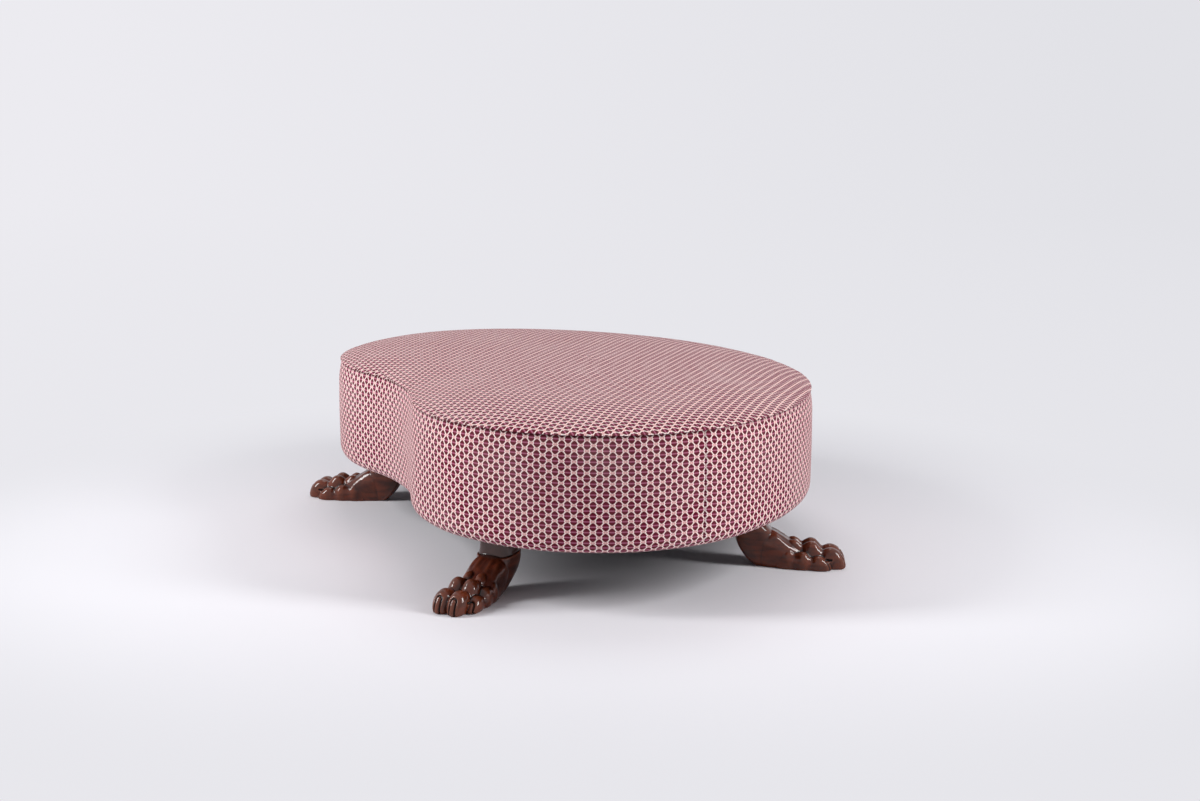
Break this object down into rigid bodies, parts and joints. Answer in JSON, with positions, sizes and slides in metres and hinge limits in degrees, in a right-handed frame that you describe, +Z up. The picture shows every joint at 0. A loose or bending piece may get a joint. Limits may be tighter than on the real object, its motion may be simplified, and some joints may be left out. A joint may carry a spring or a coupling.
{
  "type": "ottoman",
  "caption": "Low kidney-shaped upholstered ottoman with a gently domed top, a seamed band round the side and carved wooden paw feet.",
  "frame": {"origin": "on the floor, midway between the extreme points along X and along Y", "axes": "+X along the long axis, -Y towards the hollowed front, +Z up"},
  "size_m": [1.404, 1.0539, 0.4078],
  "materials": {
    "patterned_fabric": "matte",
    "wadding": "matte",
    "foam": "matte",
    "webbing": "matte",
    "hessian": "matte",
    "dust_cloth": "matte",
    "plywood": "matte",
    "frame_timber": "matte",
    "polished_mahogany": "gloss",
    "blued_steel": "satin",
    "zinc_plated_steel": "satin"
  },
  "bodies": {
    "root": {"band_cover_back": "patterned_fabric", "band_cover_front": "patterned_fabric", "base_rail_left": "frame_timber", "base_rail_right": "frame_timber", "bottom_ring": "plywood", "cross_webbing_1": "webbing", "cross_webbing_2": "webbing", "cross_webbing_3": "webbing", "cross_webbing_4": "webbing", "cross_webbing_5": "webbing", "cross_webbing_6": "webbing", "deck_cloth": "hessian", "deck_rail_left": "frame_timber", "deck_rail_right": "frame_timber", "dust_cover": "dust_cloth", "dust_cover_tacks": "blued_steel", "frame_screws": "zinc_plated_steel", "hanger_bolts": "zinc_plated_steel", "leg_block_back_left": "frame_timber", "leg_block_back_right": "frame_timber", "leg_block_front_left": "frame_timber", "leg_block_front_right": "frame_timber", "long_webbing_1": "webbing", "long_webbing_2": "webbing", "long_webbing_3": "webbing", "long_webbing_4": "webbing", "paw_leg_back_left": "polished_mahogany", "paw_leg_back_right": "polished_mahogany", "paw_leg_front_left": "polished_mahogany", "paw_leg_front_right": "polished_mahogany", "post_1": "frame_timber", "post_2": "frame_timber", "post_3": "frame_timber", "post_4": "frame_timber", "post_5": "frame_timber", "post_6": "frame_timber", "post_7": "frame_timber", "post_8": "frame_timber", "seat_foam": "foam", "side_foam_back": "foam", "side_foam_front": "foam", "side_foam_left": "foam", "side_foam_right": "foam", "side_skin_back": "plywood", "side_skin_front": "plywood", "side_wadding": "wadding", "tee_nuts": "zinc_plated_steel", "top_cover": "patterned_fabric", "top_ring": "plywood", "top_wadding": "wadding"}
  },
  "joints": []
}
